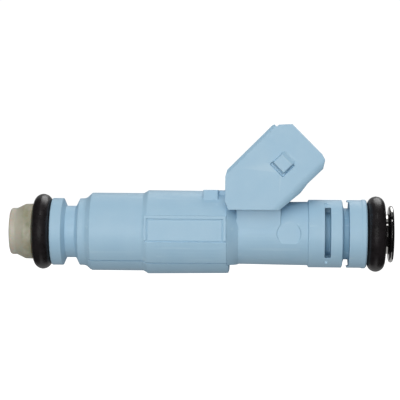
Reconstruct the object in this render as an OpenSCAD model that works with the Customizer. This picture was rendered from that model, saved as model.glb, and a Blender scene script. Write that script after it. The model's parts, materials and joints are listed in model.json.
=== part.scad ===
// Port fuel injector with two seal rings, a rolled inlet flange and an angled two-pin socket.
// +X runs along the injector from the spray tip to the fuel inlet, +Z points to the socket side,
// and the origin is the centre of the lower seal ring. All lengths are millimetres.

/* [Seals] */
// Outer diameter of the two seal rings
seal_od = 14.6; // [14.4:0.1:14.8]
// Thickness of a seal ring's section
seal_wire = 3.5; // [3.4:0.05:3.6]
// Distance between the centres of the two seal rings
seal_pitch = 64.4; // [64.2:0.1:64.6]

/* [Front moulding] */
// Outer diameter of the shell around the coil
shell_d = 16.3; // [16.0:0.1:16.6]
// Outer diameter of the plain barrel in front of the shell
barrel_d = 15.18; // [15:0.02:15.3]
// Outer diameter of the collar beside the lower seal ring
front_collar_d = 13; // [12.8:0.1:13.2]
// How far the lower quarter of the moulding sits below the rest
quarter_step = 0.14; // [0.05:0.01:0.25]

/* [Socket moulding] */
// Diameter of the neck under the socket
neck_d = 11.94; // [11.8:0.02:12.1]
// Diameter of the band and the collar at the inlet end
band_d = 13.1; // [13:0.02:13.2]
// Diameter at the bottom of the retaining-clip groove
clip_groove_d = 10.4; // [10:0.1:10.8]
// Width of the socket block across its two side panels
socket_w = 16.6; // [16.2:0.1:17]
// Length of the socket cavity's cross-section
cavity_w = 13.2; // [12.8:0.1:13.6]
// Height of the socket cavity's cross-section
cavity_h = 7; // [6.6:0.1:7]
// Depth of the socket cavity
cavity_depth = 9.2; // [8.5:0.1:9.5]

/* [Terminals] */
// Distance between the centres of the two blades
blade_pitch = 5; // [4.8:0.1:5.2]
// Width of a terminal blade
blade_w = 2.8; // [2.6:0.1:3]
// Thickness of a terminal blade
blade_t = 0.8; // [0.6:0.1:0.8]

/* [Valve] */
// Gap between the armature and the pole face with the valve closed
air_gap = 0.082; // [0.06:0.002:0.1]
// Diameter of the valve ball
ball_d = 3.5; // [3.4:0.05:3.5]
// Number of spray holes in the orifice plate
spray_holes = 4; // [3:1:6]
// Diameter of the closing spring's wire
spring_wire = 0.5; // [0.4:0.05:0.5]
// Number of turns in the closing spring
spring_turns = 10; // [8:1:12]

/* [Hidden] */
$fn = 96;
eps = 0.01;
seal_r = (seal_od - seal_wire) / 2;
neck_under_seal_r = seal_od / 2 - seal_wire - 0.02;

// Stations along the axis
tip_x = -6.3;
cap_rear_x = -1.8;
carrier_tip_x = -4.6;
plate_x = -4.35;
seat_x = -4.1;
seat_rear_x = -0.1;
collar_x = seal_wire / 2 + 0.03;
needle_bore_end_x = 15.5;
armature_x = 17.8;
yoke_x = 18.4;
spring_x = 20.8;
ring_x = 25;
pole_x = 25.6;
ring_rear_x = 28;
adjuster_x = 32;
washer_x = 34;
yoke_rear_x = 35;
seam_x = 35.8;
adjuster_rear_x = 41;
step_bore_x = 47;
filter_x = 53;
filter_collar_x = 64.6;
filter_collar_rear_x = 66.4;
moulding_end_x = seal_pitch - seal_wire / 2 - 0.1;
flange_x = 66.85;
flange_t = 0.85;
inlet_x = flange_x + flange_t;

// Radii shared by pieces that fit together
carrier_r = 4.2;
magnetic_r = 4.6;
armature_bore_r = 3.7;
tube_r = 3.8;
fuel_bore_r = 2;
filter_bore_r = 3;
seat_r = 2.8;
yoke_bore_r = 6.5;
yoke_r = 7.1;
needle_r = 1.6;
needle_bore_r = 1.1;
ball_clearance = 0.012;
ball_x = -1.4 + ball_clearance;
guide_clearance = 0.03;

// Flat pad on each side of the shell
pad_x0 = 20;
pad_x1 = 35.6;
pad_y = 7.8;
pad_low = -1.75;
pad_high = 3.3;

// Socket frame: its local Z is the mating direction, 45 degrees up from the injector's axis
socket_angle = 45;
socket_a = 23.6;
mouth_u = 48.7;
cavity_u = mouth_u - cavity_depth;
blade_tip_u = mouth_u - 1.8;
tail_u = 33;
tail_z = 5;
tail_x = 36.4;
tail_w = 1.6;
lead_r = 0.25;
latch_a = 23.3;
latch_u = 42.45;
latch_w = 2.7;
latch_h = 0.7;

function reversed(list) = [for (i = [len(list) - 1:-1:0]) list[i]];

// Points of a round corner in a lathe profile, as [x, r] pairs
function corner(x, r, rad, from, to, n = 6) =
    [for (i = [0:n]) let (a = from + (to - from) * i / n) [x + rad * cos(a), r + rad * sin(a)]];

// A solid turned about the injector's axis from [x, r] points
module lathe(points) {
    rotate([0, 90, 0])
        rotate_extrude()
            polygon([for (p = points) [p[1], p[0]]]);
}

// A turned solid between an outer and an inner profile, both running from tip to inlet
module turned_shell(outer, inner) {
    lathe(concat(outer, reversed(inner)));
}

// A plain tube from x0 to x1
module pipe(x0, x1, r_out, r_in) {
    turned_shell([[x0, r_out], [x1, r_out]], [[x0, r_in], [x1, r_in]]);
}

// A plain rod from x0 to x1
module rod(x0, x1, r) {
    translate([x0, 0, 0])
        rotate([0, 90, 0])
            cylinder(h = x1 - x0, r = r);
}

// A box from one corner to the opposite one
module block(low, high) {
    translate(low)
        cube(high - low);
}

// Draws in the socket's frame: X is down and towards the inlet, Y across, Z out of the mouth
module socket_frame() {
    rotate([0, socket_angle, 0])
        children();
}

// A wedge under the axis that opens by this many degrees to each side
module lower_wedge(x0, x1, opening) {
    reach = 12;
    half_w = reach * tan(opening);
    translate([x0, 0, 0])
        rotate([90, 0, 90])
            linear_extrude(x1 - x0)
                polygon([[0, 0], [-half_w, -reach], [half_w, -reach]]);
}

// ---------------------------------------------------------------- valve group

module nozzle_carrier() {
    snap_r = 3.1;
    tip_r = 3.3;
    outer = [
        [carrier_tip_x, tip_r - 0.15], [carrier_tip_x + 0.15, tip_r], [-3.9, tip_r], [-3.9, snap_r],
        [-3.3, snap_r], [-3.3, tip_r], [cap_rear_x + 0.05, tip_r],
        [cap_rear_x + 0.05, neck_under_seal_r],
        [collar_x, neck_under_seal_r], [collar_x, carrier_r], [yoke_x + 1.4, carrier_r],
        [yoke_x + 1.4, magnetic_r], [ring_x, magnetic_r]
    ];
    inner = [
        [carrier_tip_x, seat_r], [seat_rear_x, seat_r], [seat_rear_x, 2.3],
        [needle_bore_end_x - 1.4, 2.3], [needle_bore_end_x, armature_bore_r],
        [ring_x, armature_bore_r]
    ];
    color("Silver") turned_shell(outer, inner);
}

module nonmagnetic_ring() {
    color("DarkGray") pipe(ring_x, ring_rear_x, magnetic_r, armature_bore_r);
}

// The inner pole, the fuel tube and its rolled flange are one stepped tube
module inlet_tube() {
    lip_r = flange_t / 2;
    flange_r = 5.47;
    mouth_round = 0.35;
    outer = [
        [pole_x, armature_bore_r], [ring_rear_x, armature_bore_r], [ring_rear_x, magnetic_r],
        [yoke_rear_x, magnetic_r], [yoke_rear_x, tube_r], [seal_pitch - 2.3, tube_r],
        [seal_pitch - 2.2, neck_under_seal_r], [flange_x, neck_under_seal_r],
        [flange_x, flange_r - lip_r], [inlet_x, flange_r - lip_r]
    ];
    inner = concat(
        [[pole_x, fuel_bore_r], [step_bore_x, fuel_bore_r], [step_bore_x + 1, filter_bore_r]],
        [[inlet_x - mouth_round, filter_bore_r]],
        corner(inlet_x - mouth_round, filter_bore_r + mouth_round, mouth_round, -75, 0, 5)
    );
    color("Gainsboro") union() {
        turned_shell(outer, inner);
        translate([flange_x + lip_r, 0, 0])
            rotate([0, 90, 0])
                rotate_extrude()
                    translate([flange_r - lip_r, 0])
                        circle(r = lip_r);
    }
}

module armature() {
    pocket_r = 1.9;
    body_r = 3.6;
    guide_r = armature_bore_r - guide_clearance;
    top_x = pole_x - air_gap;
    outer = [
        [armature_x, body_r - 0.4], [armature_x + 0.4, body_r], [22, body_r], [22.1, guide_r],
        [23.4, guide_r], [23.5, body_r], [top_x - 0.2, body_r], [top_x, body_r - 0.2]
    ];
    inner = [
        [armature_x, needle_r], [spring_x - 0.6, needle_r], [spring_x - 0.6, needle_bore_r],
        [spring_x, needle_bore_r], [spring_x, pocket_r], [top_x, pocket_r]
    ];
    color("DimGray") turned_shell(outer, inner);
}

module needle_tube() {
    start_x = ball_x + sqrt(pow(ball_d / 2, 2) - pow(needle_r, 2));
    hole_d = 0.9;
    color("Silver") difference() {
        pipe(ball_x, spring_x - 0.6, needle_r, needle_bore_r);
        translate([ball_x, 0, 0])
            sphere(d = ball_d);
        rod(ball_x - eps, start_x, needle_r + 1);
        for (x = [3, 12])
            translate([x, 0, 0])
                for (turn = [0, 90])
                    rotate([turn, 0, 0])
                        cylinder(h = 2 * needle_r + 1, d = hole_d, center = true);
    }
}

module valve_ball() {
    flats = 5;
    flat_r = 1.5;
    color("LightSteelBlue") difference() {
        translate([ball_x, 0, 0])
            sphere(d = ball_d);
        for (i = [0:flats - 1])
            rotate([360 / flats * i, 0, 0])
                block([ball_x - 0.6, -1, flat_r], [ball_x + 0.6, 1, flat_r + 1]);
    }
}

module valve_seat() {
    guide_r = ball_d / 2 + guide_clearance;
    outlet_r = 0.6;
    cone_x = ball_x - ball_clearance - ball_d / 2 * sqrt(2);
    outer = [[seat_x, seat_r], [seat_rear_x, seat_r]];
    inner = [
        [seat_x, outlet_r], [cone_x + outlet_r, outlet_r], [cone_x + guide_r, guide_r],
        [seat_rear_x - 0.3, guide_r], [seat_rear_x, guide_r + 0.3]
    ];
    color("Gray") turned_shell(outer, inner);
}

module orifice_plate() {
    color("Silver") difference() {
        rod(plate_x, seat_x, seat_r);
        for (i = [0:spray_holes - 1])
            rotate([360 / spray_holes * i, 0, 0])
                translate([0, 0, 0.35])
                    rod(plate_x - 1, seat_x + 1, 0.13);
    }
}

// Natural nylon cap that snaps over the tip and keeps the lower seal ring on
module tip_cap() {
    edge = 0.5;
    nose_r = 4.5;
    skirt_r = 5.36;
    rear_round = 0.2;
    tip_r = 3.3;
    outer = concat(
        corner(tip_x + edge, nose_r - edge, edge, 180, 90),
        [[-5.05, nose_r], [-3.4, skirt_r - 0.05]],
        corner(cap_rear_x - rear_round, skirt_r - rear_round, rear_round, 90, 0)
    );
    inner = [
        [tip_x, 2.75], [tip_x + 0.25, 2.5], [carrier_tip_x, 2.5], [carrier_tip_x, tip_r],
        [-3.86, tip_r], [-3.76, 3.12], [-3.44, 3.12], [-3.34, tip_r], [cap_rear_x, tip_r]
    ];
    color("Wheat") turned_shell(outer, inner);
}

// ---------------------------------------------------------------- seals

module seal_ring(x) {
    translate([x, 0, 0])
        rotate([0, 90, 0])
            rotate_extrude()
                translate([seal_r, 0])
                    circle(d = seal_wire);
}

module lower_o_ring() {
    color("Black") seal_ring(0);
}

module upper_o_ring() {
    color("Black") seal_ring(seal_pitch);
}

// ---------------------------------------------------------------- front moulding

// Outside of the front moulding; the lower quarter is the same shape, drop lower
module sleeve_outside(drop, shell_front_r, shell_rear_r) {
    collar_r = front_collar_d / 2;
    barrel_r = barrel_d / 2 - drop;
    lathe([
        [collar_x, 0], [collar_x, collar_r - 0.15], [collar_x + 0.15, collar_r], [3.95, collar_r],
        [4.55, 5.15], [4.6, 5.01], [6.4, 5.01], [6.55, 5.15], [7.2, collar_r - 0.03],
        [8.1, collar_r], [8.6, 6.67], [9.53, barrel_r - 0.06], [9.6, barrel_r], [19.6, barrel_r],
        [20.45, shell_front_r - 0.03], [20.6, shell_front_r], [seam_x - 0.15, shell_rear_r],
        [seam_x, shell_rear_r - 0.1], [seam_x, 0]
    ]);
}

// Flat pad on one side of the shell, with a panel in it that a fine groove runs around
module side_pad(side) {
    sink = 0.08;
    groove_w = 0.28;
    groove_t = 0.3;
    panel_low = [pad_x0 + 0.45, pad_y - groove_t, pad_low];
    panel_high = [pad_x1 - 0.5, pad_y - sink, pad_high - 0.6];
    rim = [groove_w, 0, groove_w];
    mirror([0, side < 0 ? 1 : 0, 0]) {
        difference() {
            block([pad_x0, barrel_d / 2 - 1, pad_low], [pad_x1, pad_y, pad_high]);
            block(panel_low, [panel_high.x, shell_d, panel_high.z]);
            block([pad_x0 - 1, pad_y - groove_t, pad_low], [pad_x1 + 1, shell_d, pad_low + groove_w]);
        }
        block(panel_low + rim - [0, 1, 0], panel_high - rim);
    }
}

// The curved shell that the flat pad takes the place of
module pad_clearance(side) {
    mirror([0, side < 0 ? 1 : 0, 0])
        block([pad_x0, pad_y - 0.2, pad_low], [pad_x1, shell_d, pad_high]);
}

// The shape of the lower quarter, this far inside the rest of the moulding
module quarter_outside(drop) {
    shell_r = shell_d / 2;
    sleeve_outside(drop, shell_r - drop, shell_r - drop - 0.2);
}

// Small ledge under the rear end of the shell
module rear_ledge() {
    inner_r = 6;
    outer_r = shell_d / 2 - 0.35;
    intersection() {
        lathe([
            [seam_x - 1, inner_r], [seam_x - 1, outer_r - 0.2], [seam_x + 0.2, outer_r],
            [seam_x + 0.45, outer_r - 0.7], [seam_x + 0.45, inner_r]
        ]);
        block([seam_x - 1, -4.5, -9], [seam_x + 1, 4.5, -6.15]);
    }
}

module front_sleeve() {
    shell_r = shell_d / 2;
    quarter_x = 9.3;
    groove_t = 0.28;
    stop_w = 10.1;
    bridge_w = 7;
    color("LightBlue") difference() {
        union() {
            difference() {
                sleeve_outside(0, shell_r, shell_r - 0.06);
                lower_wedge(quarter_x, seam_x + 1, 45);
                for (side = [-1, 1])
                    pad_clearance(side);
            }
            intersection() {
                quarter_outside(quarter_step);
                lower_wedge(quarter_x, seam_x + 1, 42);
            }
            intersection() {
                quarter_outside(quarter_step + groove_t);
                lower_wedge(quarter_x, seam_x + 1, 45);
            }
            rear_ledge();
            for (side = [-1, 1])
                side_pad(side);
            block([31.2, -stop_w / 2, 5], [34, stop_w / 2, shell_r + 0.13]);
            block([33.9, -bridge_w / 2, 5], [35.5, bridge_w / 2, shell_r + 0.08]);
        }
        rod(collar_x - 1, yoke_x, carrier_r);
        rod(yoke_x, seam_x + 1, yoke_r);
    }
}

// ---------------------------------------------------------------- magnet and coil

// Steel cup around the coil that carries the magnetic flux
module magnet_housing() {
    outer = [[yoke_x, yoke_r], [yoke_rear_x, yoke_r]];
    inner = [
        [yoke_x, carrier_r], [yoke_x + 1.4, carrier_r], [yoke_x + 1.4, yoke_bore_r],
        [yoke_rear_x, yoke_bore_r]
    ];
    color("DimGray") turned_shell(outer, inner);
}

// Closes the magnetic circuit above the coil, slotted where the two leads pass
module upper_washer() {
    slot_w = 1.2;
    color("DimGray") difference() {
        pipe(washer_x, yoke_rear_x, yoke_bore_r, magnetic_r);
        for (side = [-1, 1])
            translate([0, side * blade_pitch / 2, 0])
                block([washer_x - 1, -slot_w / 2, 4.2], [yoke_rear_x + 1, slot_w / 2, yoke_r + 1]);
    }
}

module coil_bobbin() {
    front_x = yoke_x + 1.45;
    rear_x = washer_x - 0.1;
    hub_r = magnetic_r + 0.05;
    flange_w = 0.8;
    outer = [
        [front_x, 6.4], [front_x + flange_w, 6.4], [front_x + flange_w, 5.1],
        [rear_x - flange_w, 5.1], [rear_x - flange_w, 6.4], [rear_x, 6.4]
    ];
    inner = [[front_x, hub_r], [rear_x, hub_r]];
    color("SaddleBrown") difference() {
        turned_shell(outer, inner);
        for (side = [-1, 1])
            translate([0, side * blade_pitch / 2, tail_z])
                rod(rear_x - flange_w - 1, rear_x + 1, lead_r + 0.1);
    }
}

module coil_winding() {
    color("Peru") pipe(yoke_x + 2.25, washer_x - 0.9, 6.2, 5.1);
}

module coil_leads() {
    color("Peru") for (side = [-1, 1])
        translate([0, side * blade_pitch / 2, tail_z])
            rod(washer_x - 0.9, tail_x, lead_r);
}

// ---------------------------------------------------------------- inlet pieces

// Slit steel sleeve, pressed in until the spring load is right
module adjusting_sleeve() {
    slit = 0.5;
    color("Silver") difference() {
        pipe(adjuster_x, adjuster_rear_x, fuel_bore_r, 1.3);
        block([adjuster_x - 1, -slit / 2, 0], [adjuster_rear_x + 1, slit / 2, 3]);
    }
}

// Height of the spring's centre line after a number of turns: closed end turns, open between
function spring_rise(turn, length) =
    let (closed = spring_wire * 1.04)
    turn < 1 ? closed * turn
    : turn > spring_turns - 1 ? length - closed * (spring_turns - turn)
    : closed + (turn - 1) * (length - 2 * closed) / (spring_turns - 2);

module closing_spring() {
    coil_r = 1.45;
    gap = 0.02;
    length = adjuster_x - spring_x - spring_wire - 2 * gap;
    steps = 18;
    sides = 8;
    rings = steps * spring_turns;
    points = [
        for (i = [0:rings])
            let (
                turn = i / steps,
                x = spring_x + gap + spring_wire / 2 + spring_rise(turn, length)
            )
            for (j = [0:sides - 1])
                let (
                    a = 360 / sides * j,
                    r = coil_r + spring_wire / 2 * cos(a)
                )
                [x + spring_wire / 2 * sin(a), r * cos(360 * turn), r * sin(360 * turn)]
    ];
    walls = [
        for (i = [0:rings - 1])
            for (j = [0:sides - 1])
                let (k = (j + 1) % sides)
                [i * sides + j, (i + 1) * sides + j, (i + 1) * sides + k, i * sides + k]
    ];
    caps = [
        [for (j = [0:sides - 1]) j],
        [for (j = [sides - 1:-1:0]) rings * sides + j]
    ];
    color("Gainsboro") polyhedron(points = points, faces = concat(walls, caps));
}

module filter_collar() {
    outer = [
        [filter_collar_x, filter_bore_r - 0.2], [filter_collar_x + 0.3, filter_bore_r],
        [filter_collar_rear_x, filter_bore_r]
    ];
    inner = [[filter_collar_x, 2.3], [filter_collar_rear_x - 0.2, 2.3], [filter_collar_rear_x, 2.5]];
    color("Gold") turned_shell(outer, inner);
}

// Moulded cage that holds the strainer: a nose, four ribs and a ring inside the brass collar
module filter_frame() {
    ribs = 4;
    color("Ivory") union() {
        pipe(filter_x, filter_x + 0.8, 2.6, 0.9);
        rod(filter_x, filter_x + 0.8, 0.95);
        pipe(filter_collar_x - 0.8, filter_collar_x, 2.6, 1.75);
        pipe(filter_collar_x - 0.4, filter_collar_rear_x - 0.5, 2.3, 1.75);
        intersection() {
            pipe(filter_x + 0.4, filter_collar_x - 0.4, 2.6, 2.15);
            for (i = [0:ribs - 1])
                rotate([360 / ribs * (i + 0.5), 0, 0])
                    block([filter_x, -0.35, 0], [filter_collar_x, 0.35, 3]);
        }
    }
}

module filter_mesh() {
    color("WhiteSmoke") pipe(filter_x + 0.8, filter_collar_x - 0.8, 2.15, 2.02);
}

// ---------------------------------------------------------------- terminals

// One blade with its bent tail, insert-moulded in the socket
module terminal(side) {
    half_t = blade_t / 2;
    tip = 0.8;
    translate([0, side * blade_pitch / 2, 0]) {
        socket_frame()
            translate([socket_a, 0, 0])
                intersection() {
                    rotate([90, 0, 0])
                        linear_extrude(blade_w, center = true)
                            polygon([
                                [-half_t, tail_u], [half_t, tail_u], [half_t, blade_tip_u - tip],
                                [half_t / 2, blade_tip_u], [-half_t / 2, blade_tip_u],
                                [-half_t, blade_tip_u - tip]
                            ]);
                    rotate([90, 0, 90])
                        linear_extrude(blade_t, center = true)
                            polygon([
                                [-blade_w / 2, tail_u], [blade_w / 2, tail_u],
                                [blade_w / 2, blade_tip_u - tip], [blade_w / 4, blade_tip_u],
                                [-blade_w / 4, blade_tip_u], [-blade_w / 2, blade_tip_u - tip]
                            ]);
                }
        socket_frame()
            block([socket_a - half_t, -tail_w / 2, 30.4], [socket_a + half_t, tail_w / 2, tail_u + eps]);
        block([tail_x, -tail_w / 2, tail_z - half_t], [38.6, tail_w / 2, tail_z + half_t]);
    }
}

module terminal_left() {
    color("LightGray") terminal(-1);
}

module terminal_right() {
    color("LightGray") terminal(1);
}

// ---------------------------------------------------------------- socket moulding

// Side view of the socket block, from the shoulder up to the slanted mouth
module socket_outline() {
    polygon([
        [36.05, 4.5], [35.4, 6], [35.45, 10.8], [35.8, 12.1], [44.0, 20.5], [44.7, 20.75],
        [45.1, 20.3], [45.5, 20.7], [48.05, 20.82], [53.7, 15.17], [54.3, 14.1], [53.95, 12.4],
        [51.05, 9.6], [49.65, 7.75], [45.7, 4.5]
    ]);
}

// End view of the socket block, looking into the mouth: bevelled above, rounded below
module socket_section() {
    top_a = 16.75;
    low_a = 29.7;
    half_w = socket_w / 2;
    bevel = 0.6;
    large = 1.8;
    polygon([
        [top_a, bevel - half_w], [top_a + bevel, -half_w], [low_a - large, -half_w],
        [low_a - large, half_w], [top_a + bevel, half_w], [top_a, half_w - bevel]
    ]);
    for (side = [-1, 1])
        translate([low_a - large, side * (half_w - large)])
            circle(r = large);
    translate([low_a - large - eps, large - half_w])
        square([large + eps, socket_w - 2 * large]);
}

module socket_block() {
    intersection() {
        rotate([90, 0, 0])
            linear_extrude(socket_w, center = true)
                socket_outline();
        socket_frame()
            translate([0, 0, 20])
                linear_extrude(35)
                    socket_section();
    }
}

// Shallow pocket around the back and the lower edge of each catch
module latch_pocket(side) {
    half = latch_w / 2;
    floor_y = socket_w / 2 - 0.5;
    socket_frame()
        mirror([0, side < 0 ? 1 : 0, 0])
            block(
                [latch_a - half - 0.25, floor_y, latch_u - half - 0.75],
                [latch_a + half + 0.5, floor_y + 2, latch_u + half - 0.3]
            );
}

// Catch on each side panel, with a ramp towards the mouth
module latch_bump(side) {
    half = latch_w / 2;
    slope = 0.35;
    reach = half + slope;
    cut = 0.6;
    base = socket_w / 2 - 0.6;
    top = socket_w / 2 + latch_h;
    socket_frame()
        mirror([0, side < 0 ? 1 : 0, 0])
            intersection() {
                translate([latch_a - half - slope, 0, 0])
                    rotate([90, 0, 90])
                        linear_extrude(latch_w + 2 * slope)
                            polygon([
                                [base, latch_u - half - slope], [top, latch_u - half],
                                [top, latch_u + half - 0.6], [base, latch_u + half + 1]
                            ]);
                translate([0, 0, latch_u - 5])
                    linear_extrude(10)
                        polygon([
                            [latch_a - half - slope, base], [latch_a - half, top],
                            [latch_a + half, top], [latch_a + half + slope, base]
                        ]);
                translate([latch_a, socket_w / 2 + 2, latch_u])
                    rotate([90, 0, 0])
                        linear_extrude(4)
                            polygon([
                                [-reach, cut - reach], [cut - reach, -reach],
                                [reach - cut, -reach], [reach, cut - reach],
                                [reach, reach - cut], [reach - cut, reach],
                                [cut - reach, reach], [-reach, reach - cut]
                            ]);
            }
}

module socket_cavity() {
    half_w = cavity_w / 2;
    half_h = cavity_h / 2;
    round = 1;
    key_w = 1.2;
    socket_frame()
        translate([socket_a, 0, cavity_u])
            linear_extrude(cavity_depth + 3)
                difference() {
                    union() {
                        for (a = [-1, 1])
                            for (b = [-1, 1])
                                translate([a * (half_h - round), b * (half_w - round)])
                                    circle(r = round);
                        square([cavity_h, cavity_w - 2 * round], center = true);
                        square([cavity_h - 2 * round, cavity_w], center = true);
                    }
                    for (b = [-1, 1])
                        translate([half_h - 0.6, b * 3.4 - key_w / 2])
                            square([2, key_w]);
                }
}

// Turned outside of the moulding from the shoulder to the upper seal ring
module neck_outside() {
    neck_r = neck_d / 2;
    band_r = band_d / 2;
    groove_r = clip_groove_d / 2;
    lathe([
        [yoke_rear_x, 0], [yoke_rear_x, yoke_r], [seam_x, yoke_r], [seam_x + 0.2, neck_r],
        [51.25, neck_r + 0.18], [51.4, band_r], [57.75, band_r], [57.9, band_r - 0.3],
        [58, groove_r + 0.25], [58.15, groove_r], [58.5, groove_r], [58.6, groove_r + 0.25],
        [58.7, band_r - 0.3], [58.8, band_r], [61.5, band_r], [61.65, band_r + 0.1],
        [62.3, band_r + 0.1], [moulding_end_x, band_r - 0.2], [moulding_end_x, 0]
    ]);
}

// Wider and deeper part of the clip groove on both sides, where the clip's legs lie
module clip_pockets() {
    half_h = 6.1;
    intersection() {
        pipe(58.1, 59.15, 9, clip_groove_d / 2 - 0.25);
        block([58, -9, -half_h], [60, 9, half_h]);
    }
}

// Sloping shoulder behind the shell, as tall as the neck
module shoulder() {
    intersection() {
        lathe([[seam_x, 0], [seam_x, 8], [38.1, 5.85], [38.1, 0]]);
        block([seam_x - 1, -9, -6.1], [39, 9, 6.1]);
    }
}

// Narrow windows in the band, one on each side, down to a deeper ring
module band_window(side) {
    floor_r = 4.4;
    mirror([0, side < 0 ? 1 : 0, 0])
        intersection() {
            pipe(54.45, 55.6, 8, floor_r);
            block([54, 1.6, -4.5], [56, 9, 5]);
        }
}

module connector_body() {
    web_y = 5.93;
    gate_y = 5.8;
    pip_r = 0.3;
    color("LightBlue") difference() {
        union() {
            neck_outside();
            shoulder();
            block([37.6, -web_y, 0], [46, web_y, 5]);
            difference() {
                socket_block();
                rod(30, seam_x, shell_d / 2 + 0.1);
                for (side = [-1, 1])
                    latch_pocket(side);
            }
            for (side = [-1, 1]) {
                latch_bump(side);
                translate([54.75, 0, 5.75])
                    rotate([-90 * side, 0, 0])
                        cylinder(h = 3.4, r = pip_r);
                translate([54.75, 0, -5.4])
                    rotate([-90 * side, 0, 0])
                        cylinder(h = 4, r = pip_r);
            }
        }
        rod(yoke_rear_x - 1, moulding_end_x + 1, tube_r);
        clip_pockets();
        socket_cavity();
        for (side = [-1, 1]) {
            terminal(side);
            band_window(side);
            translate([0, side * blade_pitch / 2, tail_z])
                rod(yoke_rear_x - 1, tail_x + eps, lead_r);
            translate([47.6, side * gate_y, 0])
                rotate([-90 * side, 0, 0])
                    cylinder(h = 2, r = 2.3);
        }
    }
}

nozzle_carrier();
nonmagnetic_ring();
inlet_tube();
armature();
needle_tube();
valve_ball();
valve_seat();
orifice_plate();
tip_cap();
lower_o_ring();
front_sleeve();
magnet_housing();
upper_washer();
coil_bobbin();
coil_winding();
coil_leads();
adjusting_sleeve();
closing_spring();
filter_collar();
filter_frame();
filter_mesh();
upper_o_ring();
terminal_left();
terminal_right();
connector_body();
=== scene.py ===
"""Looks of a port fuel injector: moulded blue nylon, rubber seals and polished steel on the CAD frame."""

import json
import math

import bmesh
import bpy
from mathutils import Matrix, Vector


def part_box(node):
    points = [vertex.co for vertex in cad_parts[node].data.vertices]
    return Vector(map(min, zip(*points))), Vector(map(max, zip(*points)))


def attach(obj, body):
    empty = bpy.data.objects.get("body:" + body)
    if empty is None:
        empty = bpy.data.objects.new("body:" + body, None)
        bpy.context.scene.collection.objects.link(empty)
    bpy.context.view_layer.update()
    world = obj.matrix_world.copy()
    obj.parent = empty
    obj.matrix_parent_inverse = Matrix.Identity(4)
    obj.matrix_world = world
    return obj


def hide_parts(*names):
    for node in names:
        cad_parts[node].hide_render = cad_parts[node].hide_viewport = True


MM = 0.001
TURN = 2 * math.pi

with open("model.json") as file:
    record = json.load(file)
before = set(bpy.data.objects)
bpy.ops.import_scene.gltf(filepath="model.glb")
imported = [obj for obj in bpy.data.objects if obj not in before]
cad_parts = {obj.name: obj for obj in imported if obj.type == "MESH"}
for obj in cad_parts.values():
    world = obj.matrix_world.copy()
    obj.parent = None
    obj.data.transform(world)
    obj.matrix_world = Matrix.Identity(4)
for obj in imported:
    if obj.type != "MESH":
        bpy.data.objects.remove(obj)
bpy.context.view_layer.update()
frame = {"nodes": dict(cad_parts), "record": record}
nodes = frame["nodes"]
scene = bpy.context.scene


# ---------------------------------------------------------------- camera

# The camera looks level at the object's side, from a third of a metre, a little to the inlet's side.
CAMERA_AT = Vector((42.4, -335.0, 6.32)) * MM
CAMERA_AIM = Vector((30.4, 0.0, 6.32)) * MM
CAMERA_ROLL = math.radians(0.47)
VIEW_WIDTH = 77.6 * MM
SENSOR = 36.0


def make_camera():
    data = bpy.data.cameras.new("camera")
    data.sensor_width = SENSOR
    data.lens = SENSOR * (CAMERA_AIM - CAMERA_AT).length / VIEW_WIDTH
    data.clip_start = 0.01
    data.clip_end = 20
    camera = bpy.data.objects.new("camera", data)
    scene.collection.objects.link(camera)
    look = (CAMERA_AIM - CAMERA_AT).to_track_quat("-Z", "Y").to_matrix()
    turned = look @ Matrix.Rotation(CAMERA_ROLL, 3, "Z")
    camera.matrix_world = Matrix.Translation(CAMERA_AT) @ turned.to_4x4()
    scene.camera = camera


# ---------------------------------------------------------------- materials


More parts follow.
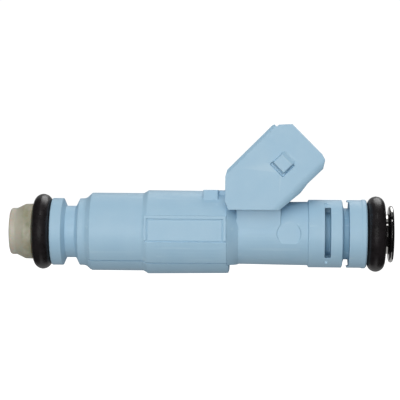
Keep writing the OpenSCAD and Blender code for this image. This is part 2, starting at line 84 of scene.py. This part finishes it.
class Shader:
    """A Principled material, with short calls for the procedural nodes that feed it."""

    def __init__(self, name, **sockets):
        self.material = bpy.data.materials.new(name)
        self.material.use_nodes = True
        self.tree = self.material.node_tree
        self.surface = self.tree.nodes["Principled BSDF"]
        self.where = self.node("ShaderNodeTexCoord").outputs["Object"]
        for socket, value in sockets.items():
            title = "IOR" if socket == "ior" else socket.replace("_", " ").title()
            self.surface.inputs[title].default_value = value

    def node(self, kind, **values):
        made = self.tree.nodes.new(kind)
        for key, value in values.items():
            setattr(made, key, value)
        return made

    def link(self, start, end):
        self.tree.links.new(start, end)

    def placed(self, stretch):
        """Object coordinates in millimetres, multiplied per axis."""
        mapping = self.node("ShaderNodeMapping")
        mapping.inputs["Scale"].default_value = [s / MM for s in stretch]
        self.link(self.where, mapping.inputs["Vector"])
        return mapping.outputs["Vector"]

    def noise(self, scale, detail, stretch=(1, 1, 1)):
        """Noise with this many features a millimetre, from 0 to 1."""
        noise = self.node("ShaderNodeTexNoise")
        noise.inputs["Scale"].default_value = scale
        noise.inputs["Detail"].default_value = detail
        self.link(self.placed(stretch), noise.inputs["Vector"])
        return noise.outputs["Fac"]

    def spread(self, value, low, high, start=0.3, end=0.7):
        """value between start and end, mapped to between low and high."""
        ramp = self.node("ShaderNodeMapRange")
        for socket, number in (("From Min", start), ("From Max", end), ("To Min", low), ("To Max", high)):
            ramp.inputs[socket].default_value = number
        self.link(value, ramp.inputs["Value"])
        return ramp.outputs["Result"]

    def blend(self, factor, first, second):
        """first where factor is 0 and second where it is 1, as colours."""
        mix = self.node("ShaderNodeMix", data_type="RGBA")
        self.link(factor, mix.inputs["Factor"])
        for socket, colour in ((mix.inputs["A"], first), (mix.inputs["B"], second)):
            if isinstance(colour, tuple):
                socket.default_value = (*colour, 1)
            else:
                self.link(colour, socket)
        return mix.outputs["Result"]

    def along(self, axis):
        """The object coordinate along X, Y or Z, in millimetres."""
        split = self.node("ShaderNodeSeparateXYZ")
        self.link(self.placed((1, 1, 1)), split.inputs["Vector"])
        return split.outputs[axis]

    def radius(self):
        """The distance from the injector's axis, in millimetres."""
        length = self.node("ShaderNodeVectorMath", operation="LENGTH")
        self.link(self.placed((0, 1, 1)), length.inputs["Vector"])
        return length.outputs["Value"]

    def times(self, first, second):
        """The product of two values."""
        product = self.node("ShaderNodeMath", operation="MULTIPLY")
        self.link(first, product.inputs[0])
        self.link(second, product.inputs[1])
        return product.outputs["Value"]

    def colour(self, value):
        self.link(value, self.surface.inputs["Base Color"])

    def roughness(self, value):
        self.link(value, self.surface.inputs["Roughness"])

    def bump(self, value, depth, strength):
        """A height of depth millimetres where value is 1."""
        bump = self.node("ShaderNodeBump")
        bump.inputs["Strength"].default_value = strength
        bump.inputs["Distance"].default_value = depth * MM
        self.link(value, bump.inputs["Height"])
        self.link(bump.outputs["Normal"], self.surface.inputs["Normal"])


def blue_nylon():
    """Pale blue nylon: satin, faintly clouded, rubbed on edges, with painted shade in corners, creases and
    the clip groove.
    """
    s = Shader("blue_nylon", ior=1.5)
    cloud = s.spread(s.noise(0.22, 4), 0, 1)
    body = s.blend(cloud, (0.35, 0.55, 0.705), (0.38, 0.575, 0.72))
    speck = s.spread(s.noise(9, 2), 0, 0.6, 0.62, 0.75)
    body = s.blend(speck, body, (0.43, 0.62, 0.75))
    # Painted shade: darker deeper below the surface past X 51.6 mm, inside the clip groove.
    groove_shade = s.times(s.spread(s.radius(), 0.6, 0, 4.9, 6.3), s.spread(s.along("X"), 0, 1, 51.6, 52))
    body = s.blend(groove_shade, body, (0.11, 0.27, 0.40))
    sharp = s.node("ShaderNodeNewGeometry").outputs["Pointiness"]
    body = s.blend(s.spread(sharp, 0, 0.35, 0.53, 0.62), body, (0.50, 0.67, 0.78))
    # Painted shade: darker where the surface folds inwards, in creases and concave corners.
    s.colour(s.blend(s.spread(sharp, 0.7, 0, 0.40, 0.48), body, (0.10, 0.20, 0.29)))
    s.roughness(s.spread(s.noise(1.3, 5), 0.43, 0.57))
    s.bump(s.noise(14, 4), 0.004, 0.6)
    return s.material


def natural_nylon():
    """Unpigmented nylon, a little see-through, with painted shade that darkens and browns it towards the
    seal.
    """
    s = Shader("natural_nylon", ior=1.53, subsurface_weight=0.25, subsurface_scale=1.2 * MM)
    # Painted shade: darker and browner towards the seal, from X -5.6 to -2.6 mm.
    seal_shade = s.spread(s.along("X"), 0, 1, -5.6, -2.6)
    body = s.blend(seal_shade, (0.53, 0.51, 0.43), (0.27, 0.27, 0.17))
    cloud = s.spread(s.noise(0.6, 4), 0, 0.8)
    s.colour(s.blend(cloud, body, (0.46, 0.44, 0.355)))
    s.roughness(s.spread(s.noise(2, 4), 0.36, 0.5))
    s.bump(s.noise(8, 4), 0.005, 0.6)
    return s.material


def seal_rubber():
    """Black moulded rubber with a soft bloom and fine handling marks."""
    s = Shader("seal_rubber", ior=1.52)
    bloom = s.spread(s.noise(0.9, 5), 0, 1)
    s.colour(s.blend(bloom, (0.009, 0.0075, 0.008), (0.017, 0.014, 0.0155)))
    s.roughness(s.spread(s.noise(2.4, 5), 0.25, 0.38))
    s.bump(s.noise(11, 4), 0.004, 0.6)
    return s.material


def turned_metal(name, low, high, rough_low, rough_high, depth=0.002):
    """Metal turned about the injector's axis: fine rings, so the noise is stretched across X."""
    s = Shader(name, metallic=1.0)
    rings = s.noise(1, 4, stretch=(9, 0.35, 0.35))
    s.colour(s.blend(s.spread(s.noise(0.7, 3), 0, 1), low, high))
    s.roughness(s.spread(rings, rough_low, rough_high))
    s.bump(rings, depth, 0.5)
    return s.material


def enamelled_copper():
    """Copper wire under a clear amber enamel."""
    s = Shader("enamelled_copper", metallic=1.0, coat_weight=0.7, coat_roughness=0.12)
    s.colour(s.blend(s.spread(s.noise(1.6, 3), 0, 1), (0.62, 0.21, 0.07), (0.76, 0.31, 0.12)))
    s.roughness(s.spread(s.noise(4, 3), 0.24, 0.38))
    return s.material


def plain_moulding(name, low, high, rough_low, rough_high):
    """A small moulded plastic piece with a slight cloud in its colour."""
    s = Shader(name, ior=1.5)
    s.colour(s.blend(s.spread(s.noise(0.8, 4), 0, 1), low, high))
    s.roughness(s.spread(s.noise(3, 4), rough_low, rough_high))
    s.bump(s.noise(12, 3), 0.003, 0.5)
    return s.material


def make_materials():
    return {
        "blue_nylon": blue_nylon(),
        "natural_nylon": natural_nylon(),
        "seal_rubber": seal_rubber(),
        "polished_steel": turned_metal(
            "polished_steel", (0.62, 0.61, 0.59), (0.70, 0.69, 0.67), 0.06, 0.14, 0.0006
        ),
        "valve_steel": turned_metal("valve_steel", (0.50, 0.50, 0.49), (0.58, 0.57, 0.56), 0.24, 0.4),
        "ball_steel": turned_metal("ball_steel", (0.58, 0.58, 0.60), (0.64, 0.64, 0.65), 0.08, 0.16, 0.0005),
        "magnet_steel": turned_metal("magnet_steel", (0.30, 0.30, 0.30), (0.40, 0.39, 0.38), 0.3, 0.48),
        "spring_steel": turned_metal("spring_steel", (0.46, 0.44, 0.40), (0.54, 0.52, 0.48), 0.2, 0.34),
        "tinned_brass": turned_metal("tinned_brass", (0.56, 0.55, 0.50), (0.66, 0.65, 0.60), 0.26, 0.42),
        "filter_brass": turned_metal("filter_brass", (0.62, 0.42, 0.15), (0.74, 0.53, 0.23), 0.2, 0.36),
        "enamelled_copper": enamelled_copper(),
        "bobbin_plastic": plain_moulding(
            "bobbin_plastic", (0.06, 0.035, 0.02), (0.09, 0.05, 0.03), 0.4, 0.55
        ),
        "filter_nylon": plain_moulding("filter_nylon", (0.68, 0.65, 0.55), (0.78, 0.75, 0.66), 0.36, 0.5),
        "filter_gauze": plain_moulding("filter_gauze", (0.72, 0.70, 0.64), (0.82, 0.80, 0.74), 0.5, 0.65),
    }


# ---------------------------------------------------------------- mesh helpers


def new_piece(name, mesh, body, slot, *replaced):
    """A piece of the object, with its material, the body that it rides on and the nodes it stands for."""
    piece = bpy.data.objects.new(name, mesh)
    scene.collection.objects.link(piece)
    mesh.materials.clear()
    mesh.materials.append(materials[slot])
    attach(piece, body)
    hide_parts(*replaced)


def mesh_of(name, points, faces):
    """A mesh from points in millimetres, with its faces turned outwards."""
    mesh = bpy.data.meshes.new(name)
    mesh.from_pydata([Vector(p) * MM for p in points], [], faces)
    shape = bmesh.new()
    shape.from_mesh(mesh)
    bmesh.ops.recalc_face_normals(shape, faces=shape.faces)
    shape.to_mesh(mesh)
    shape.free()
    mesh.polygons.foreach_set("use_smooth", [True] * len(mesh.polygons))
    return mesh


def lathe(name, profile, sides):
    """A closed loop of (x, r) points in millimetres, turned about the injector's axis."""
    count = len(profile)
    points = [
        (x, r * math.cos(TURN * i / sides), r * math.sin(TURN * i / sides))
        for i in range(sides)
        for x, r in profile
    ]
    faces = [
        (
            i * count + j,
            i * count + (j + 1) % count,
            (i + 1) % sides * count + (j + 1) % count,
            (i + 1) % sides * count + j,
        )
        for i in range(sides)
        for j in range(count)
    ]
    return mesh_of(name, points, faces)


def arc(x, r, radius, start, end, count):
    """Points of a round corner in a lathe profile, from one angle to another in degrees."""
    steps = [math.radians(start + (end - start) * i / count) for i in range(count + 1)]
    return [(x + radius * math.cos(a), r + radius * math.sin(a)) for a in steps]


def evaluated(holder):
    """A new mesh with the object's modifiers applied."""
    bpy.context.view_layer.update()
    return bpy.data.meshes.new_from_object(holder.evaluated_get(bpy.context.evaluated_depsgraph_get()))


def moulded(node, voxel, smoothing, most_triangles):
    """A copy of a CAD node's mesh with every edge softened, as a mould leaves it. Sizes in millimetres.

    The last modifier turns the normals of small faces to their large neighbours', so that flats stay flat.
    """
    weld = 0.0005
    source = nodes[node].data.copy()
    source.transform(Matrix.Scale(1 / MM, 4))
    shape = bmesh.new()
    shape.from_mesh(source)
    bmesh.ops.remove_doubles(shape, verts=shape.verts, dist=weld)
    shape.to_mesh(source)
    shape.free()
    scratch = bpy.data.objects.new("scratch", source)
    scene.collection.objects.link(scratch)
    remesh = scratch.modifiers.new("remesh", "REMESH")
    remesh.mode = "VOXEL"
    remesh.voxel_size = voxel
    smooth = scratch.modifiers.new("smooth", "SMOOTH")
    smooth.factor = 0.5
    smooth.iterations = smoothing
    soft = evaluated(scratch)
    share = most_triangles / (2 * len(soft.polygons))
    if share < 1:
        scratch.modifiers.clear()
        scratch.data = soft
        thin = scratch.modifiers.new("thin", "DECIMATE")
        thin.ratio = share
        soft = evaluated(scratch)
    soft.polygons.foreach_set("use_smooth", [True] * len(soft.polygons))
    scratch.modifiers.clear()
    scratch.data = soft
    weighted = scratch.modifiers.new("weighted", "WEIGHTED_NORMAL")
    weighted.weight = 80
    soft = evaluated(scratch)
    bpy.data.objects.remove(scratch)
    soft.name = node
    soft.transform(Matrix.Scale(MM, 4))
    return soft


# ---------------------------------------------------------------- pieces


def make_mouldings():
    voxel = 0.07
    rounds = 3
    mouldings = (
        ("front_moulding", "front_sleeve", "blue_nylon", 190_000),
        ("socket_moulding", "connector_body", "blue_nylon", 190_000),
        ("nose_cap", "tip_cap", "natural_nylon", 90_000),
    )
    for name, node, slot, most_triangles in mouldings:
        new_piece(name, moulded(node, voxel, rounds, most_triangles), "injector", slot, node)


def seal_profile(node):
    """Section of a seal ring, with the fine flash line that its mould leaves inside and outside."""
    low, high = (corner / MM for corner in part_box(node))
    wire = high.x - low.x
    centre_x = (low.x + high.x) / 2
    centre_r = high.z - wire / 2
    flash = 0.02
    sharpness = 9
    steps = 72
    section = []
    for i in range(steps):
        angle = TURN * i / steps
        near_seam = math.exp(-((math.sin(angle * 2) * sharpness) ** 2) / 2) * (abs(math.cos(angle)) < 0.5)
        radius = wire / 2 - flash + flash * near_seam
        section.append((centre_x + radius * math.cos(angle), centre_r + radius * math.sin(angle)))
    return section


def make_seals():
    for name, node in (("lower_seal", "lower_o_ring"), ("upper_seal", "upper_o_ring")):
        new_piece(name, lathe(name, seal_profile(node), 200), "injector", "seal_rubber", node)


def make_fuel_tube():
    """Pole, tube and flange. The flange is rolled over, so its rim and its mouth are fully round."""
    low, high = (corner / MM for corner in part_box("inlet_tube"))
    seal_low, seal_high = (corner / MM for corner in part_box("upper_o_ring"))
    step_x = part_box("nonmagnetic_ring")[1].x / MM
    washer_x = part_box("upper_washer")[1].x / MM
    wire = seal_high.x - seal_low.x
    tube_r, pole_r, core_r = 3.8, 3.7, 4.6
    filter_bore_r, spring_bore_r = 3, 2
    bore_step_x = 48
    neck_r = seal_high.z - wire - 0.02
    lip = 0.425
    mouth = 0.35
    fillet = 0.3
    flange_x = high.x - 2 * lip
    profile = [
        (low.x, pole_r - 0.1), (low.x + 0.1, pole_r), (step_x, pole_r), (step_x, core_r),
        (washer_x, core_r), (washer_x, tube_r), (seal_low.x - 0.35, tube_r), (seal_low.x - 0.25, neck_r),
    ]
    profile += arc(flange_x - fillet, neck_r + fillet, fillet, -90, 0, 6)
    profile += arc(flange_x + lip, high.z - lip, lip, 180, 0, 24)
    profile += arc(high.x - mouth, filter_bore_r + mouth, mouth, 0, -90, 10)
    profile += [
        (bore_step_x, filter_bore_r), (bore_step_x - 1, spring_bore_r),
        (low.x + 0.1, spring_bore_r), (low.x, spring_bore_r + 0.1),
    ]
    new_piece("fuel_tube", lathe("fuel_tube", profile, 192), "injector", "polished_steel", "inlet_tube")


def swept(name, centres, radius):
    """A closed round wire along points that wind about the X axis, in millimetres."""
    sides = 14
    points = []
    for x, y, z in centres:
        out = math.hypot(y, z)
        for j in range(sides):
            a = TURN * j / sides
            r = out + radius * math.cos(a)
            points.append((x + radius * math.sin(a), y / out * r, z / out * r))
    rings = len(centres)
    faces = [
        (i * sides + j, (i + 1) * sides + j, (i + 1) * sides + (j + 1) % sides, i * sides + (j + 1) % sides)
        for i in range(rings - 1)
        for j in range(sides)
    ]
    faces += [tuple(range(sides)), tuple((rings - 1) * sides + j for j in range(sides))]
    return mesh_of(name, points, faces)


def make_spring():
    """Compression spring with a closed turn at each end, clear of the armature even at full lift."""
    low, high = (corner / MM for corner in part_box("closing_spring"))
    wire = 0.5
    turns = 10
    steps = 40
    lift_gap = 0.1
    start_x = low.x + lift_gap + wire / 2
    coil_r = high.z - wire / 2
    length = high.x - wire / 2 - start_x
    closed = wire * 1.04
    centres = []
    for i in range(turns * steps + 1):
        turn = i / steps
        if turn < 1:
            rise = closed * turn
        elif turn > turns - 1:
            rise = length - closed * (turns - turn)
        else:
            rise = closed + (turn - 1) * (length - 2 * closed) / (turns - 2)
        a = TURN * turn
        centres.append((start_x + rise, coil_r * math.cos(a), coil_r * math.sin(a)))
    mesh = swept("return_spring", centres, wire / 2)
    new_piece("return_spring", mesh, "injector", "spring_steel", "closing_spring")


def make_winding():
    """Outer layer of the coil, one ridge for each turn of wire."""
    low, high = (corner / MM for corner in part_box("coil_winding"))
    hub_r = 5.1
    wire = 0.22
    turns = int((high.x - low.x) / wire)
    pitch = (high.x - low.x) / turns
    profile = [(low.x, hub_r), (high.x, hub_r)]
    for i in reversed(range(turns)):
        middle = low.x + pitch * (i + 0.5)
        profile += [
            (middle + pitch / 2 * math.cos(a), high.z - pitch / 2 + pitch / 2 * math.sin(a))
            for a in (math.radians(d) for d in (15, 45, 75, 105, 135, 165))
        ]
    mesh = lathe("copper_winding", profile, 96)
    new_piece("copper_winding", mesh, "injector", "enamelled_copper", "coil_winding")


def make_gauze():
    """Woven strainer: straight strands and hoops that pass over and under each other."""
    low, high = (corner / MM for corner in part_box("filter_mesh"))
    strands, hoops, strand_w = 36, 28, 0.09
    wave = 0.03
    inset = 0.005
    middle_r = high.z - 2 * wave - inset
    shape = bmesh.new()

    def tube(path, closed):
        """A square strand along (x, angle, r) points: a hoop if it is closed, else a straight strand."""
        rings = []
        for x, a, r in path:
            corners = ((-1, -1), (1, -1), (1, 1), (-1, 1))
            ring = []
            for side, up in corners:
                shift = side * strand_w / 2
                x_at = x + shift if closed else x
                r_at = r + up * wave
                a_at = a if closed else a + shift / middle_r
                corner = Vector((x_at, r_at * math.cos(a_at), r_at * math.sin(a_at)))
                ring.append(shape.verts.new(corner * MM))
            rings.append(ring)
        pairs = list(zip(rings, rings[1:] + rings[:1])) if closed else list(zip(rings, rings[1:]))
        for first, second in pairs:
            for j in range(4):
                k = (j + 1) % 4
                shape.faces.new((first[j], second[j], second[k], first[k]))
        if not closed:
            shape.faces.new(rings[0])
            shape.faces.new(rings[-1][::-1])

    for s in range(strands):
        path = []
        for h in range(hoops + 1):
            x = low.x + (high.x - low.x) * h / hoops
            path.append((x, TURN * s / strands, middle_r + wave * (-1) ** (s + h)))
        tube(path, False)
    for h in range(1, hoops):
        x = low.x + (high.x - low.x) * h / hoops
        path = [(x, TURN * s / strands, middle_r - wave * (-1) ** (s + h)) for s in range(strands)]
        tube(path, True)
    bmesh.ops.recalc_face_normals(shape, faces=shape.faces)
    mesh = bpy.data.meshes.new("gauze")
    shape.to_mesh(mesh)
    shape.free()
    new_piece("gauze", mesh, "injector", "filter_gauze", "filter_mesh")


def dress_frame():
    """Materials for the CAD pieces that stay as they are."""
    slots = {row["node"]: row["material_slot"] for row in frame["record"]["subparts"]}
    for name, node in nodes.items():
        node.data.materials.clear()
        node.data.materials.append(materials[slots[name]])


# ---------------------------------------------------------------- studio

FLOOR_Z = -60 * MM
MIDDLE = Vector((30, 0, 5)) * MM
WHITE = (1, 1, 1, 1)


def stage_object(name, mesh, material, hidden_from):
    """A sheet of the studio. hidden_from names the kinds of ray that pass through it."""
    piece = bpy.data.objects.new(name, mesh)
    scene.collection.objects.link(piece)
    mesh.materials.append(material)
    for kind in hidden_from:
        setattr(piece, "visible_" + kind, False)


def rectangle(name, centre, across, up):
    """A flat sheet about a centre, given half of each side as a vector, in metres."""
    centre, across, up = Vector(centre), Vector(across), Vector(up)
    corners = [centre - across - up, centre + across - up, centre + across + up, centre - across + up]
    mesh = bpy.data.meshes.new(name)
    mesh.from_pydata(corners, [], [(0, 1, 2, 3)])
    return mesh


def make_floor():
    """Pale floor, lit from within so that it fades into the white surround without lighting the object."""
    paper = Shader("paper", roughness=0.9)
    paper.surface.inputs["Base Color"].default_value = (0.9, 0.9, 0.9, 1)
    paper.surface.inputs["Emission Color"].default_value = WHITE
    paper.surface.inputs["Emission Strength"].default_value = 0.9
    mesh = rectangle("floor", (MIDDLE.x, 0, FLOOR_Z), (6, 0, 0), (0, 6, 0))
    stage_object("floor", mesh, paper.material, ("diffuse", "glossy", "transmission", "shadow"))


def make_dark_cards():
    """Black cards behind the camera and at both sides. They are only seen in polished steel."""
    card = Shader("card", roughness=1.0)
    card.surface.inputs["Base Color"].default_value = (0.002, 0.002, 0.002, 1)
    cards = (
        ("card_front", (MIDDLE.x, -0.6, 0), (0.5, 0, 0), (0, 0, 3)),
        ("card_right", (0.5, 0.1, 0), (0, 0.75, 0), (0, 0, 2.5)),
        ("card_left", (-0.5, 0.1, 0), (0, 0.75, 0), (0, 0, 2.5)),
    )
    for name, centre, across, up in cards:
        mesh = rectangle(name, centre, across, up)
        stage_object(name, mesh, card.material, ("camera", "diffuse", "transmission", "shadow"))


def area_light(name, place, size, power):
    """A round light that faces the object. place is from MIDDLE and size is its width, both in metres."""
    data = bpy.data.lights.new(name, "AREA")
    data.shape = "DISK"
    data.size = size
    data.energy = power
    light = bpy.data.objects.new(name, data)
    light.location = MIDDLE + Vector(place)
    light.rotation_euler = (-Vector(place)).to_track_quat("-Z", "Y").to_euler()
    scene.collection.objects.link(light)


def make_lights():
    area_light("key", (0.0, -0.8, 0.574), 1.0, 4.1)
    area_light("front", (-0.1, -0.7, 0.0), 0.3, 1.52)
    area_light("top", (0.1, 0.3, 0.42), 0.4, 0.95)


def make_world():
    """White to the camera. As light it is dimmer, and a little brighter from below, off a white table."""
    seen_strength, from_below, from_above = 1.05, 0.4, 0.3
    world = bpy.data.worlds.new("studio")
    scene.world = world
    world.use_nodes = True
    tree = world.node_tree
    seen = tree.nodes.new("ShaderNodeBackground")
    seen.inputs["Strength"].default_value = seen_strength
    seen.inputs["Color"].default_value = WHITE
    light = tree.nodes["Background"]
    light.inputs["Color"].default_value = WHITE
    split = tree.nodes.new("ShaderNodeSeparateXYZ")
    tree.links.new(tree.nodes.new("ShaderNodeTexCoord").outputs["Generated"], split.inputs["Vector"])
    height = tree.nodes.new("ShaderNodeMapRange")
    limits = (("From Min", -0.5), ("From Max", 0.5), ("To Min", from_below), ("To Max", from_above))
    for socket, number in limits:
        height.inputs[socket].default_value = number
    tree.links.new(split.outputs["Z"], height.inputs["Value"])
    tree.links.new(height.outputs["Result"], light.inputs["Strength"])
    path = tree.nodes.new("ShaderNodeLightPath")
    mix = tree.nodes.new("ShaderNodeMixShader")
    tree.links.new(path.outputs["Is Camera Ray"], mix.inputs["Fac"])
    tree.links.new(light.outputs["Background"], mix.inputs[1])
    tree.links.new(seen.outputs["Background"], mix.inputs[2])
    tree.links.new(mix.outputs["Shader"], tree.nodes["World Output"].inputs["Surface"])


# ---------------------------------------------------------------- build

scene.view_settings.view_transform = "Standard"
make_camera()
materials = make_materials()
dress_frame()
make_mouldings()
make_seals()
make_fuel_tube()
make_spring()
make_winding()
make_gauze()
make_floor()
make_dark_cards()
make_lights()
make_world()
